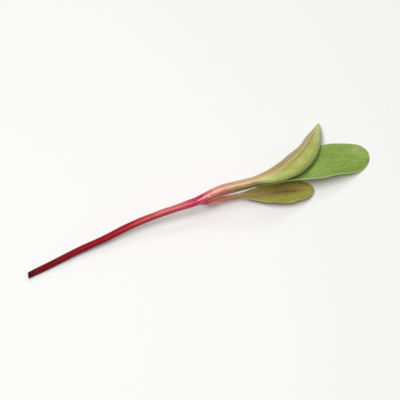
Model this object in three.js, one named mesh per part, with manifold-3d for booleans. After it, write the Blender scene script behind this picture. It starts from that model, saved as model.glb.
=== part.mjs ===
// One beet microgreen, cut and lying on a flat surface: a thin red stem, the swollen
// crown at its top, two seed leaves lying one over the other, one young true leaf
// beneath them and the bud of the next one.
// Millimetres, +Z up. The seedling lies along X, with its cut end towards -X.

import * as THREE from "three";
import { mergeVertices } from "three/addons/utils/BufferGeometryUtils.js";
import Module from "manifold-3d";

const { clamp, degToRad, lerp, smoothstep } = THREE.MathUtils;

// Stem: its radius at the cut end and under the crown, its ribs and its slanting cut
const STEM_CUT_RADIUS = 0.62;
const STEM_TOP_RADIUS = 0.74;
const STEM_RIBS = 5;
const STEM_RIB_HEIGHT = 0.04;
const STEM_SIDES = 16;
const STEM_STEPS = 40;
const RINGS_TOWARDS_CROWN = 1.5;
const CUT_SLANT = 0.35;
const CUT_LENGTH = 3;

// Crown: how far it swells beyond the stem, over what length, and its rounded top
const CROWN_SWELLING = 0.16;
const CROWN_LENGTH = 5;
const CROWN_FLATNESS = 0.9;
const CROWN_ROUNDING = 1.1;
const CROWN_TIP_SHARE = 0.17;

// Stalks: the stub of each one that belongs to the crown, the joint past it, the flare
// of its root and the groove along its upper side
const COLLAR_LENGTH = 3;
const JOINT_GAP = 0.3;
const STALK_FLARE = 0.14;
const GROOVE_DEPTH = 0.3;
const GROOVE_WIDTH = 0.35;
const STALK_ROUNDNESS = 2;

// Blades: their thickness, the squarer edge of their section and their midrib
const BLADE_THICKNESS = 0.62;
const BLADE_ROUNDNESS = 8;
const BLADE_RUN_IN = 0.12;
const BLADE_FLATTENING = 0.3;
const TIP_START = 0.95;
const TIP_THINNING = 0.4;
const TIP_END = 0.999;
const RIB_WIDTH = 0.45;
const LEAF_STEP = 0.85;
const RINGS_TOWARDS_TIP = 1.6;
const LEAF_STATIONS = [1, 0.9, 0.62, 0.32, 0.12, 0, -0.12, -0.32, -0.62, -0.9, -1];

// Centre line of the stem, from its cut end up to the crown
const STEM_LINE = [
  [-36.9, -2.2, 0.58], [-31.1, -1.4, 0.7], [-25.4, -0.65, 1.1], [-19.7, -0.2, 1.5],
  [-14.0, 0.4, 2.1], [-8.6, 0.4, 2.8], [-3.2, 0.1, 3.4], [0.6, 0.0, 3.7],
];

// Each leaf has its centre line from the crown outwards, its sizes, and keys of
// [share of its length, degrees] for how it turns about that line and curls across it
const UPPER_SEED_LEAF = {
  name: "upper_cotyledon",
  line: [
    [0, 0, 3.9], [3.0, 0.1, 4.8], [5.7, 0.05, 5.4], [9.1, -0.6, 6.0], [13.0, -1.2, 6.6],
    [16.1, -1.35, 7.0], [19.7, -0.4, 6.95], [24.2, 2.5, 5.45], [27.3, 6.1, 3.1],
    [30.2, 10.1, 0.02],
  ],
  stalkLength: 12.0,
  stalkHalfWidth: 0.54,
  stalkThickness: 0.92,
  bladeHalfWidth: 3.2,
  widest: 0.47,
  tipFullness: 1.4,
  tipRoundness: 0.8,
  roll: [[0, 180], [0.6, 180], [0.85, 172], [1, 166]],
  curl: [[0, 10], [0.35, 30], [0.6, 74], [0.85, 66], [1, 40]],
  rib: 0.3,
  wave: 0.12,
  waves: 2.5,
  colour: 0xb4be6c,
};

const LOWER_SEED_LEAF = {
  name: "lower_cotyledon",
  line: [
    [0, 0, 3.5], [2.9, 0.1, 3.35], [5.4, 0.15, 3.4], [9.0, -0.1, 3.5], [12.8, -0.45, 3.6],
    [16.1, -0.6, 3.7], [20.0, -0.35, 3.6], [25.5, -0.05, 2.8], [30.2, 0.0, 1.6],
    [33.8, -0.2, 0.52], [36.9, -0.6, 0.14],
  ],
  stalkLength: 12.5,
  stalkHalfWidth: 0.5,
  stalkThickness: 0.84,
  bladeHalfWidth: 4.0,
  widest: 0.62,
  tipFullness: 3.4,
  tipRoundness: 0.5,
  roll: [[0, 0], [0.4, -4], [0.75, -4], [1, 0]],
  curl: [[0, 10], [0.4, 24], [0.7, 12], [0.9, 4], [1, 1]],
  rib: 0.25,
  wave: 0.15,
  waves: 2,
  colour: 0x87a74e,
};

const FIRST_TRUE_LEAF = {
  name: "first_true_leaf",
  line: [
    [0, -0.1, 3.3], [2.7, -0.4, 2.38], [5.4, -0.5, 1.85], [8.8, -0.8, 1.5], [12.3, -1.7, 1.35],
    [16.6, -2.7, 1.2], [20.8, -3.7, 1.0], [23.4, -4.3, 0.65],
  ],
  stalkLength: 9.0,
  stalkHalfWidth: 0.4,
  stalkThickness: 0.72,
  bladeHalfWidth: 3.0,
  widest: 0.58,
  tipFullness: 2.2,
  tipRoundness: 0.55,
  roll: [[0, 14], [0.4, -4], [0.8, -6], [1, 0]],
  curl: [[0, 20], [0.4, 30], [0.8, 14], [1, 6]],
  rib: 0.25,
  wave: 0.18,
  waves: 3,
  colour: 0xa59c54,
};

const LEAF_BUD = {
  name: "leaf_bud",
  line: [[0.2, 0.15, 3.6], [1.8, 1.0, 3.25], [3.5, 1.45, 2.9], [5.6, 1.6, 2.65]],
  stalkLength: 3.0,
  stalkHalfWidth: 0.3,
  stalkThickness: 0.54,
  bladeHalfWidth: 0.62,
  widest: 0.45,
  tipFullness: 1.6,
  tipRoundness: 0.6,
  roll: [[0, -10], [1, -20]],
  curl: [[0, 20], [0.5, 70], [1, 60]],
  rib: 0.06,
  wave: 0,
  waves: 1,
  colour: 0xa9a45a,
};

const LEAVES = [UPPER_SEED_LEAF, LOWER_SEED_LEAF, FIRST_TRUE_LEAF, LEAF_BUD];

const STEM_COLOUR = 0x9c2430;
const STEM_ROUGHNESS = 0.42;
const LEAF_ROUGHNESS = 0.5;
const FLOOR_SIZE = 200;

const UP = new THREE.Vector3(0, 0, 1);
const wasm = await Module();
wasm.setup();

// A smooth curve through a centre line's points
function curveThrough(line) {
  const points = line.map((point) => new THREE.Vector3(...point));
  return new THREE.CatmullRomCurve3(points, false, "catmullrom", 0.5);
}

// A value that eases from key to key, each key being [share of the length, value]
function keyed(keys, share) {
  for (let i = 1; i < keys.length; i += 1) {
    const [before, low] = keys[i - 1];
    const [after, high] = keys[i];
    if (share <= after) {
      return lerp(low, high, smoothstep(share, before, after));
    }
  }
  return keys.at(-1)[1];
}

// A bump of height 1 at the middle of a section, fading over the given width
function bump(offset, width) {
  return Math.exp(-((offset / width) ** 2));
}

// A section's centre, direction, side and upper face, turned about the line by roll
function sectionFrame(curve, share, rollDegrees) {
  const centre = curve.getPointAt(share);
  const along = curve.getTangentAt(share);
  const level = new THREE.Vector3().crossVectors(UP, along).normalize();
  const rise = new THREE.Vector3().crossVectors(along, level);
  const roll = degToRad(rollDegrees);
  const side = level.clone().multiplyScalar(Math.cos(roll)).addScaledVector(rise, Math.sin(roll));
  const face = rise.clone().multiplyScalar(Math.cos(roll)).addScaledVector(level, -Math.sin(roll));
  return { centre, along, side, face };
}

// The size of a leaf's section at a share of its length: a slim stalk that flares at its
// root, then a blade that widens, is widest past its middle and ends in a rounded tip
function leafSize(leaf, length, share) {
  const distance = share * length;
  const blade = clamp((distance - leaf.stalkLength) / (length - leaf.stalkLength), 0, 1);
  const flared = 1 + STALK_FLARE * Math.exp(-distance / COLLAR_LENGTH);
  const opened = smoothstep(blade, -BLADE_RUN_IN, leaf.widest);
  const past = Math.max(0, (blade - leaf.widest) / (1 - leaf.widest));
  const rounding = Math.max(0, 1 - past ** leaf.tipFullness) ** leaf.tipRoundness;
  const flattened = smoothstep(blade, 0, BLADE_FLATTENING);
  const thinned = 1 - TIP_THINNING * smoothstep(blade, TIP_START, 1);
  return {
    blade,
    flattened,
    halfWidth: lerp(leaf.stalkHalfWidth * flared, leaf.bladeHalfWidth, opened) * rounding,
    thickness: lerp(leaf.stalkThickness * flared, BLADE_THICKNESS, flattened) * thinned,
    rib: leaf.rib * flattened * (1 - smoothstep(blade, 0.5, TIP_START)),
  };
}

// How far a leaf's skin stands off its middle surface; across runs from -1 to 1, and skin
// is 1 on the upper side, with the stalk's groove, and -1 on the lower, with the midrib
function skinOffset(size, across, skin) {
  const roundness = lerp(STALK_ROUNDNESS, BLADE_ROUNDNESS, size.flattened);
  const half = (size.thickness / 2) * Math.sqrt(1 - Math.abs(across) ** roundness);
  const sideways = across * size.halfWidth;
  if (skin > 0) {
    return half * (1 - GROOVE_DEPTH * bump(sideways, GROOVE_WIDTH) * (1 - size.flattened));
  }
  return -half - size.rib * bump(sideways, RIB_WIDTH);
}

// A point on a leaf's skin: the section is an arc that curls towards the upper side
function leafPoint(leaf, frame, size, curl, across, skin) {
  const angle = across * curl;
  const radius = size.halfWidth / curl;
  const outward = frame.face.clone().multiplyScalar(Math.cos(angle))
    .addScaledVector(frame.side, -Math.sin(angle));
  const phase = 2 * Math.PI * leaf.waves * size.blade + across;
  const ripple = leaf.wave * Math.sin(phase) * across ** 2 * size.flattened;
  return frame.centre.clone()
    .addScaledVector(frame.side, radius * Math.sin(angle))
    .addScaledVector(frame.face, radius * (1 - Math.cos(angle)) + ripple)
    .addScaledVector(outward, skinOffset(size, across, skin));
}

// One ring of a leaf: along its upper skin from edge to edge, and back along the lower
function leafRing(leaf, curve, length, share) {
  const frame = sectionFrame(curve, share, keyed(leaf.roll, share));
  const size = leafSize(leaf, length, share);
  const curl = degToRad(keyed(leaf.curl, share));
  const back = LEAF_STATIONS.slice(1, -1).reverse();
  return [
    ...LEAF_STATIONS.map((across) => leafPoint(leaf, frame, size, curl, across, 1)),
    ...back.map((across) => leafPoint(leaf, frame, size, curl, across, -1)),
  ];
}

// The triangles between two rings of a leaf, split alike on both of its skins
function leafSideTriangles(ring, count) {
  const triangles = [];
  for (let i = 0; i < count; i += 1) {
    const a = ring * count + i;
    const b = ring * count + ((i + 1) % count);
    const [c, d] = [b + count, a + count];
    const onUpperSkin = i < LEAF_STATIONS.length - 1;
    triangles.push(...(onUpperSkin ? [a, b, c, a, c, d] : [a, b, d, b, c, d]));
  }
  return triangles;
}

// A leaf's flat end: strips between the upper and the lower skin, facing back or forwards
function leafEndTriangles(start, count, forwards) {
  const triangles = [];
  const last = LEAF_STATIONS.length - 2;
  for (let i = 0; i <= last; i += 1) {
    const [a, b] = [start + i, start + i + 1];
    const [c, d] = [start + ((count - i - 1) % count), start + ((count - i) % count)];
    if (i < last) {
      triangles.push(...(forwards ? [a, b, c] : [a, c, b]));
    }
    if (i > 0) {
      triangles.push(...(forwards ? [a, c, d] : [a, d, c]));
    }
  }
  return triangles;
}

// The closed solid of a stretch of a leaf, with its rings closer together at the tip
function leafSolid(leaf, fromDistance, toDistance) {
  const curve = curveThrough(leaf.line);
  const length = curve.getLength();
  const from = fromDistance / length;
  const to = Math.min(toDistance / length, TIP_END);
  const steps = Math.ceil(((to - from) * length) / LEAF_STEP);
  const rings = [];
  for (let k = 0; k <= steps; k += 1) {
    const eased = 1 - (1 - k / steps) ** RINGS_TOWARDS_TIP;
    rings.push(leafRing(leaf, curve, length, lerp(from, to, eased)));
  }
  const count = rings[0].length;
  const triangles = rings.slice(1).flatMap((_, ring) => leafSideTriangles(ring, count));
  triangles.push(...leafEndTriangles(0, count, false));
  triangles.push(...leafEndTriangles(steps * count, count, true));
  return solidOf(rings.flat(), triangles);
}

// One ring of the stem: low ribs, a slanting cut, a swelling and a rounded end at the crown
function stemRing(frame, distance, length) {
  const toTop = length - distance;
  const swollen = 1 - smoothstep(toTop, CROWN_ROUNDING, CROWN_LENGTH);
  const inRounding = Math.max(0, 1 - toTop / CROWN_ROUNDING);
  const rounded = Math.max(CROWN_TIP_SHARE, Math.sqrt(1 - inRounding ** 2));
  const plain = lerp(STEM_CUT_RADIUS, STEM_TOP_RADIUS, distance / length);
  const flatness = lerp(1, CROWN_FLATNESS, swollen);
  const slant = CUT_SLANT * (1 - smoothstep(distance, 0, CUT_LENGTH));
  const ring = [];
  for (let i = 0; i < STEM_SIDES; i += 1) {
    const angle = (2 * Math.PI * i) / STEM_SIDES;
    const ribbed = STEM_RIB_HEIGHT * Math.cos(STEM_RIBS * angle);
    const radius = (plain + CROWN_SWELLING * swollen + ribbed) * rounded;
    ring.push(frame.centre.clone()
      .addScaledVector(frame.side, radius * Math.cos(angle))
      .addScaledVector(frame.face, radius * Math.sin(angle) * flatness)
      .addScaledVector(frame.along, radius * Math.cos(angle) * slant));
  }
  return ring;
}

// The triangles of the stem's side between two rings, and of the flat ends of the stem
function stemTriangles() {
  const triangles = [];
  for (let ring = 0; ring < STEM_STEPS; ring += 1) {
    for (let i = 0; i < STEM_SIDES; i += 1) {
      const a = ring * STEM_SIDES + i;
      const b = ring * STEM_SIDES + ((i + 1) % STEM_SIDES);
      triangles.push(a, b, b + STEM_SIDES, a, b + STEM_SIDES, a + STEM_SIDES);
    }
  }
  const top = STEM_STEPS * STEM_SIDES;
  for (let i = 1; i < STEM_SIDES - 1; i += 1) {
    triangles.push(0, i + 1, i);
    triangles.push(top, top + i, top + i + 1);
  }
  return triangles;
}

// The slowly thickening stem, with its rings closer together at the crown
function stemSolid() {
  const curve = curveThrough(STEM_LINE);
  const length = curve.getLength();
  const points = [];
  for (let k = 0; k <= STEM_STEPS; k += 1) {
    const eased = 1 - (1 - k / STEM_STEPS) ** RINGS_TOWARDS_CROWN;
    points.push(...stemRing(sectionFrame(curve, eased, 0), eased * length, length));
  }
  return solidOf(points, stemTriangles());
}

// A closed set of triangles as a solid that can be joined and cut
function solidOf(points, triangles) {
  const vertProperties = new Float32Array(points.flatMap((point) => point.toArray()));
  const triVerts = new Uint32Array(triangles);
  return new wasm.Manifold(new wasm.Mesh({ numProp: 3, vertProperties, triVerts }));
}

// The block under the surface that the seedling lies on, which flattens what touches it
function floorBlock() {
  const box = new THREE.BoxGeometry(FLOOR_SIZE, FLOOR_SIZE, FLOOR_SIZE);
  box.translate(0, 0, -FLOOR_SIZE / 2);
  box.deleteAttribute("normal");
  box.deleteAttribute("uv");
  const merged = mergeVertices(box);
  const position = merged.getAttribute("position");
  const corners = Array.from(
    { length: position.count },
    (_, i) => new THREE.Vector3().fromBufferAttribute(position, i),
  );
  return solidOf(corners, merged.index.array);
}

// A named mesh of a finished solid
function meshOf(name, solid, colour, roughness) {
  const { vertProperties, triVerts } = solid.getMesh();
  const geometry = new THREE.BufferGeometry();
  geometry.setAttribute("position", new THREE.BufferAttribute(new Float32Array(vertProperties), 3));
  geometry.setIndex(new THREE.BufferAttribute(new Uint32Array(triVerts), 1));
  geometry.computeVertexNormals();
  const material = new THREE.MeshStandardMaterial({ color: colour, roughness, metalness: 0 });
  const mesh = new THREE.Mesh(geometry, material);
  mesh.name = name;
  return mesh;
}

// The stem with its crown, and the stub of every leaf stalk grown into it
function stemMesh(floor) {
  const stubs = LEAVES.map((leaf) => leafSolid(leaf, 0, COLLAR_LENGTH));
  const grown = stubs.reduce((solid, stub) => solid.add(stub), stemSolid());
  return meshOf("stem", grown.subtract(floor), STEM_COLOUR, STEM_ROUGHNESS);
}

// One leaf, from just past its stub in the crown to its tip
function leafMesh(leaf, floor) {
  const solid = leafSolid(leaf, COLLAR_LENGTH + JOINT_GAP, Infinity);
  return meshOf(leaf.name, solid.subtract(floor), leaf.colour, LEAF_ROUGHNESS);
}

// The whole seedling, with the middle of its box over the origin
function seedling() {
  const floor = floorBlock();
  const group = new THREE.Group();
  group.add(stemMesh(floor), ...LEAVES.map((leaf) => leafMesh(leaf, floor)));
  const middle = new THREE.Box3().setFromObject(group).getCenter(new THREE.Vector3());
  group.position.set(-middle.x, -middle.y, 0);
  return group;
}

export default seedling();
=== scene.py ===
"""One beet microgreen, cut and lying on a pale floor.

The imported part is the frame. Each of its solids is replaced by a finer piece on the same
centre line: the stem with its crown, two seed leaves, the first true leaf and the bud of
the next one. The centre lines are in millimetres, measured from under the crown.
"""

import math

import bmesh
import bpy
import numpy as np
from bpy.props import FloatProperty, FloatVectorProperty, IntProperty, PointerProperty
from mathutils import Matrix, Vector


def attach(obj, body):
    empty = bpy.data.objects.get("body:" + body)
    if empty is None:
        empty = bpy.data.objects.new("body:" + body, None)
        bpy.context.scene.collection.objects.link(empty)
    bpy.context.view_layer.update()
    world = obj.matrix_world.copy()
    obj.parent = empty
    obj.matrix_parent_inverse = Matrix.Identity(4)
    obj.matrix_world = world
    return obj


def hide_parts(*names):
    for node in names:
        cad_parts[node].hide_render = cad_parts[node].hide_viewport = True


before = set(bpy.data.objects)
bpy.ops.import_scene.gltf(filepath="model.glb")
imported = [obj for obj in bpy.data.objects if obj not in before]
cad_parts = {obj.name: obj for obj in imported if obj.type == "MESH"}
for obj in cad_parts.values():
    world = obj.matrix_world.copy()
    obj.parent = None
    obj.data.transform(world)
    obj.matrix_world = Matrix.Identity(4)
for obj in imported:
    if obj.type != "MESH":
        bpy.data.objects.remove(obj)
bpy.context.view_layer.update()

bl_info = {
    "name": "Beet microgreen",
    "version": (1, 0, 0),
    "blender": (4, 5, 0),
    "location": "3D View > Sidebar > Microgreen",
    "description": "Builds one cut beet seedling around its packed CAD part",
    "category": "Object",
}

MM = 0.001
UP = np.array([0.0, 0.0, 1.0])

# Where the point under the crown lies in the part's frame, in millimetres
CROWN_PLACE = np.array([0.042, -2.054, 0.0])

# Stem: its centre line from the cut end to the crown, how far it is built past the cut
# before that is made, and the fixed measures of its crown
STEM_LINE = [
    [-36.9, -2.2, 0.58], [-31.1, -1.4, 0.7], [-25.4, -0.65, 1.1], [-19.7, -0.2, 1.5],
    [-14.0, 0.4, 2.1], [-8.6, 0.4, 2.8], [-3.2, 0.1, 3.4], [0.6, 0.0, 3.7],
]
PAST_CUT = 1.5
CROWN_LENGTH = 5.0
CROWN_FLATNESS = 0.9
CROWN_ROUNDING = 1.1
CROWN_TIP_SHARE = 0.17

# Stalks: the flare of their roots, their groove and the stub that the crown holds
STALK_FLARE = 0.14
FLARE_LENGTH = 3.0
GROOVE_DEPTH = 0.3
GROOVE_WIDTH = 0.35
STUB_LENGTH = 3.5
STUB_FULL_LENGTH = 2.6
STUB_END_SHARE = 0.6
HIDDEN_LENGTH = 1.5
GROWN_LENGTH = 3.1
HIDDEN_SHARE = 0.72

# Fillet between the crown and the stubs: how far from the crown's top it reaches
FILLET_FULL = 1.4
FILLET_END = 2.5

# Blades: where the stalk opens out, and the sizes of the midrib
BLADE_RUN_IN = 0.12
BLADE_FLATTENING = 0.3
RIB_WIDTH = 0.45
TIP_END = 0.9995

# The stretches of the blade over which the midrib's ridge and its reading fade out, and how
# far from the rim the side veins and the fine unevenness do, in millimetres
RIDGE_FADE, MIDRIB_FADE = (0.5, 0.95), (0.75, 1.0)
VEIN_FADE, FINE_FADE = (0.1, 0.6), (0.0, 0.8)

# Relief of the blades, in millimetres: the groove over the midrib, how deep the side veins
# lie above and underneath, how wide they are at root and end, how high the fine unevenness
# is above and underneath and the broad one all through, how far apart both swell, and how
# far in the pale rim reaches, which is partly the margin's own colour and partly a painted
# highlight
MIDRIB_GROOVE = 0.1
VEIN_DEPTHS = (0.035, 0.045)
VEIN_WIDTHS = (0.15, 0.08)
FINE_HEIGHTS = (0.016, 0.014)
BROAD_HEIGHT = 0.05
FINE_SWELL, BROAD_SWELL = 2.4, 9.0
PALE_RIM_AND_HIGHLIGHT = 0.16

# Side veins: the points of each, the shares of the blade where the first and last one leave
# the midrib, how much they are staggered and vary in place and in length, how much shorter
# they get towards the tip, and how near to tip and rim they end
VEIN_POINTS = 20
VEIN_ROOTS = (0.05, 0.72)
VEIN_STAGGER, VEIN_JITTER = 0.03, 0.02
VEIN_LENGTHS = (0.92, 1.08)
VEIN_SHORTENING = 0.45
VEIN_TIP, VEIN_REACH = 0.94, 0.88

# Finer flutter of the rims beside their waves: its share of their height, its pace, and how
# far the two rims are out of step
FLUTTER_SHARE, FLUTTER_PACE, FLUTTER_STEP = 0.45, 4.1, 2.2

# Relief of the stem, in millimetres: how far its ribs turn with each millimetre, its two
# sets of fine ridges as height and number, its knots as height and spacing, and how deep the
# cut end is pinched, and how far up
RIB_TWIST = 0.012
RIDGES = ((0.008, 13), (0.005, 17))
KNOT_HEIGHT, KNOT_SPACING, KNOT_SEED = 0.022, 5.5, 5
PINCH_DEPTH, PINCH_LENGTH = 0.05, 2.4

# How far before the crown's middle ribs and ridges start to fade and end, and how far from
# that point the stubs are smooth
RELIEF_FADE = (4.5, 1.5)
STUB_SMOOTH = (1.2, 2.3)

# A point of the stem belongs to a stalk past this distance along it and within this gap
STALK_FROM, STALK_GAP = 0.3, 0.9

# How uneven the rings of the cut face are
CUT_UNEVENNESS = 0.02

UPPER_SEED_LEAF = {
    "node": "upper_cotyledon",
    "slot": "upper_leaf",
    "line": [
        [0, 0, 3.9], [3.0, 0.1, 4.8], [5.7, 0.05, 5.4], [9.1, -0.6, 6.0], [13.0, -1.2, 6.6],
        [16.1, -1.35, 7.0], [19.7, -0.4, 6.95], [24.2, 2.5, 5.45], [27.3, 6.1, 3.1],
        [30.2, 10.1, 0.02],
    ],
    "widest": 0.47,
    "tip_fullness": 1.4,
    "tip_roundness": 0.8,
    "roll": [[0, 180], [0.6, 180], [0.85, 172], [1, 166]],
    "curl": [[0, 10], [0.35, 30], [0.6, 74], [0.85, 66], [1, 40]],
    "waves": 2.5,
    "vein_pairs": 5,
    "vein_run": 0.34,
    "seed": 11,
}

LOWER_SEED_LEAF = {
    "node": "lower_cotyledon",
    "slot": "lower_leaf",
    "line": [
        [0, 0, 3.5], [2.9, 0.1, 3.35], [5.4, 0.15, 3.4], [9.0, -0.1, 3.5], [12.8, -0.45, 3.6],
        [16.1, -0.6, 3.7], [20.0, -0.35, 3.6], [25.5, -0.05, 2.8], [30.2, 0.0, 1.6],
        [33.8, -0.2, 0.52], [36.9, -0.6, 0.14],
    ],
    "widest": 0.62,
    "tip_fullness": 3.4,
    "tip_roundness": 0.5,
    "roll": [[0, 0], [0.4, -4], [0.75, -4], [1, 0]],
    "curl": [[0, 10], [0.4, 24], [0.7, 12], [0.9, 4], [1, 1]],
    "waves": 2.0,
    "vein_pairs": 5,
    "vein_run": 0.36,
    "seed": 23,
}

TRUE_LEAF = {
    "node": "first_true_leaf",
    "slot": "true_leaf",
    "line": [
        [0, -0.1, 3.3], [2.7, -0.4, 2.38], [5.4, -0.5, 1.85], [8.8, -0.8, 1.5],
        [12.3, -1.7, 1.35], [16.6, -2.7, 1.2], [20.8, -3.7, 1.0], [23.4, -4.3, 0.65],
    ],
    "widest": 0.58,
    "tip_fullness": 2.2,
    "tip_roundness": 0.55,
    "roll": [[0, 14], [0.4, -4], [0.8, -6], [1, 0]],
    "curl": [[0, 20], [0.4, 30], [0.8, 14], [1, 6]],
    "waves": 3.0,
    "vein_pairs": 6,
    "vein_run": 0.24,
    "seed": 37,
}

LEAF_BUD = {
    "node": "leaf_bud",
    "slot": "bud_leaf",
    "line": [[0.2, 0.15, 3.6], [1.8, 1.0, 3.25], [3.5, 1.45, 2.9], [5.6, 1.6, 2.65]],
    "widest": 0.45,
    "tip_fullness": 1.6,
    "tip_roundness": 0.6,
    "roll": [[0, -10], [1, -20]],
    "curl": [[0, 20], [0.5, 70], [1, 60]],
    "waves": 1.0,
    "vein_pairs": 4,
    "vein_run": 0.26,
    "seed": 53,
}

# Fineness of the meshes, and how much closer the rings stand towards the crown and the tips
LINE_STEPS = 240
STEM_SIDES = 64
STEM_RINGS = 300
STUB_RINGS = 40
STEM_VOXEL = 0.062
RIM_POINTS = 7
HALF_POINTS = 30
LEAF_RINGS = 320
STEM_EASING, LEAF_EASING = 1.4, 1.6

# Smoothing of the stem's skin, all over and then in the fillet: the rounds, the step towards
# the neighbours and the steps back
SKIN_ROUNDS = 14
FILLET_ROUNDS = 60
SMOOTH_STEP = 0.6
SKIN_STEP_BACK = -0.5
FILLET_STEP_BACK = -0.25


# Settings that a user would change

def linear(code):
    """The linear colour of a six-digit sRGB code."""
    shares = [int(code[i:i + 2], 16) / 255 for i in (0, 2, 4)]
    return tuple(s / 12.92 if s <= 0.04045 else ((s + 0.055) / 1.055) ** 2.4 for s in shares)


def size_setting(name, text, millimetres):
    return FloatProperty(name=name, description=text, default=millimetres * MM, min=0.0,
                         precision=6, unit="LENGTH")


def colour_setting(name, text, code):
    return FloatVectorProperty(name=name, description=text, default=linear(code), size=3,
                               min=0.0, max=1.0, subtype="COLOR")


def share_setting(name, text, share):
    return FloatProperty(name=name, description=text, default=share, min=0.0, max=1.0,
                         subtype="FACTOR")


def angle_setting(name, text, degrees):
    return FloatProperty(name=name, description=text, default=math.radians(degrees),
                         unit="ROTATION")


class StemSettings(bpy.types.PropertyGroup):
    """Sizes and colours of the stem and its crown."""
    cut_radius: size_setting("Cut Radius", "Radius of the stem at its cut end", 0.62)
    top_radius: size_setting("Top Radius", "Radius of the stem under the crown", 0.74)
    swelling: size_setting("Crown Swelling", "How far the crown swells past the stem", 0.16)
    rib_height: size_setting("Rib Height", "Height of the low ribs along the stem", 0.045)
    rib_count: IntProperty(name="Ribs", description="Low ribs round the stem", default=5, min=0)
    cut_slant: share_setting("Cut Slant", "How much the cut slants, as rise over run", 0.35)
    cut_colour: colour_setting("Cut Colour", "Dark red of the cut end", "2e0206")
    low_colour: colour_setting("Low Colour", "Red of the lower half of the stem", "78020a")
    high_colour: colour_setting("High Colour", "Red of the upper half of the stem", "ae0e24")
    crown_colour: colour_setting("Crown Colour", "Pink of the crown", "c42c58")
    foot_colour: colour_setting("Foot Colour", "Salmon at the foot of the stalks", "e09680")
    stalk_colour: colour_setting("Stalk Colour", "Cream of the leaf stalks", "dabc84")
    flush_colour: colour_setting("Flush Colour", "Pink along the edges of the stalks", "c04a62")


LEAF_SIZES = {
    "stalk_length": "Length of the stalk",
    "stalk_half_width": "Half of the stalk's width",
    "blade_half_width": "Half of the blade's greatest width",
    "stalk_thickness": "Thickness of the stalk",
    "blade_thickness": "Thickness of the blade beside its midrib",
    "rim_thickness": "Thickness of the blade at its rim",
    "rib_height": "Height of the midrib underneath",
    "wave": "Height of the waves along the rim",
}
LEAF_COLOURS = {
    "face_colour": "Green of the upper side",
    "face_shade": "Deeper green of the upper side",
    "under_colour": "Colour of the underside",
    "under_shade": "Deeper colour underneath",
    "blush_colour": "Beige and pink flush",
    "vein_colour": "Colour of the midrib and veins",
    # The rim's colour is partly the margin's own paleness and partly a painted edge highlight
    "rim_colour": "Colour of the thin rim",
}


def leaf_settings(sizes, colours):
    """The settings of one leaf, with its own starting sizes and colours, in the order of
    the two lists above."""
    made = {}
    for setting, texts, values in ((size_setting, LEAF_SIZES, sizes),
                                   (colour_setting, LEAF_COLOURS, colours)):
        for (key, text), value in zip(texts.items(), values):
            made[key] = setting(key.replace("_", " ").title(), text, value)
    return made


class UpperSeedLeafSettings(bpy.types.PropertyGroup):
    """Sizes and colours of the upper seed leaf, which shows its underside."""
    __annotations__ = leaf_settings(
        (12.0, 0.54, 3.2, 0.92, 0.5, 0.3, 0.3, 0.12),
        ("809e3c", "6c8a32", "d2dc72", "acbc50", "a88c60", "96584a", "e0bca4"))


class LowerSeedLeafSettings(bpy.types.PropertyGroup):
    """Sizes and colours of the lower seed leaf, which shows its green face."""
    __annotations__ = leaf_settings(
        (12.5, 0.5, 4.0, 0.84, 0.5, 0.3, 0.25, 0.15),
        ("88a83e", "6f9430", "9ca452", "8c8c4c", "a8805c", "9cb45c", "bccb90"))


class TrueLeafSettings(bpy.types.PropertyGroup):
    """Sizes and colours of the first true leaf."""
    __annotations__ = leaf_settings(
        (9.0, 0.4, 3.0, 0.72, 0.46, 0.28, 0.25, 0.18),
        ("b0b04a", "929636", "94804e", "805c44", "a4744a", "985044", "c8a868"))


class BudSettings(bpy.types.PropertyGroup):
    """Sizes and colours of the leaf bud."""
    __annotations__ = leaf_settings(
        (3.0, 0.3, 0.62, 0.54, 0.4, 0.24, 0.06, 0.0),
        ("a6ae4c", "8c9440", "ac9c52", "9c7e4c", "b87060", "b85458", "ccb070"))


class StageSettings(bpy.types.PropertyGroup):
    """The floor, the studio light and the camera."""
    floor_size: size_setting("Floor Size", "Side of the square floor", 4000.0)
    floor_colour: colour_setting("Floor Colour", "Colour of the plain floor", "f4f4f2")
    sky: share_setting("Room Light", "Strength of the even light of the room", 0.2)
    key_power: FloatProperty(name="Key Light", description="Power of the large soft lamp",
                             default=1.8, min=0.0, unit="POWER")
    key_width: size_setting("Key Width", "Width of the large soft lamp", 420.0)
    key_length: size_setting("Key Length", "Length of the large soft lamp", 150.0)
    azimuth: angle_setting("Azimuth", "How far the camera is turned round the plant", -21)
    elevation: angle_setting("Elevation", "Height of the camera above the horizon", 60)
    distance: size_setting("Distance", "Distance of the camera", 900.0)
    field: size_setting("Field", "Width of the view at the plant", 80.0)


class MicrogreenSettings(bpy.types.PropertyGroup):
    """Everything that the seedling and its stage are built from."""
    stem: PointerProperty(type=StemSettings)
    upper_leaf: PointerProperty(type=UpperSeedLeafSettings)
    lower_leaf: PointerProperty(type=LowerSeedLeafSettings)
    true_leaf: PointerProperty(type=TrueLeafSettings)
    bud: PointerProperty(type=BudSettings)
    stage: PointerProperty(type=StageSettings)


# Curves and easing

def smoothstep(value, low, high):
    share = np.clip((value - low) / (high - low), 0, 1)
    return share * share * (3 - 2 * share)


def lerp(first, second, share):
    return first + (second - first) * share


def bump(offset, width):
    """1 at the middle, fading over the width."""
    return np.exp(-((offset / width) ** 2))


def keyed(keys, share):
    """A value that eases from key to key, each key being (share of the length, value)."""
    value = np.full_like(share, keys[0][1])
    for (before, low), (after, high) in zip(keys, keys[1:]):
        value = np.where(share > before, lerp(low, high, smoothstep(share, before, after)), value)
    return value


def unit(vectors):
    return vectors / np.linalg.norm(vectors, axis=-1, keepdims=True)


# Seeded unevenness: how many waves it adds up, and about how high their sum gets
SWELL_WAVES = 7
SWELL_PEAK = 3.2


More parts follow.
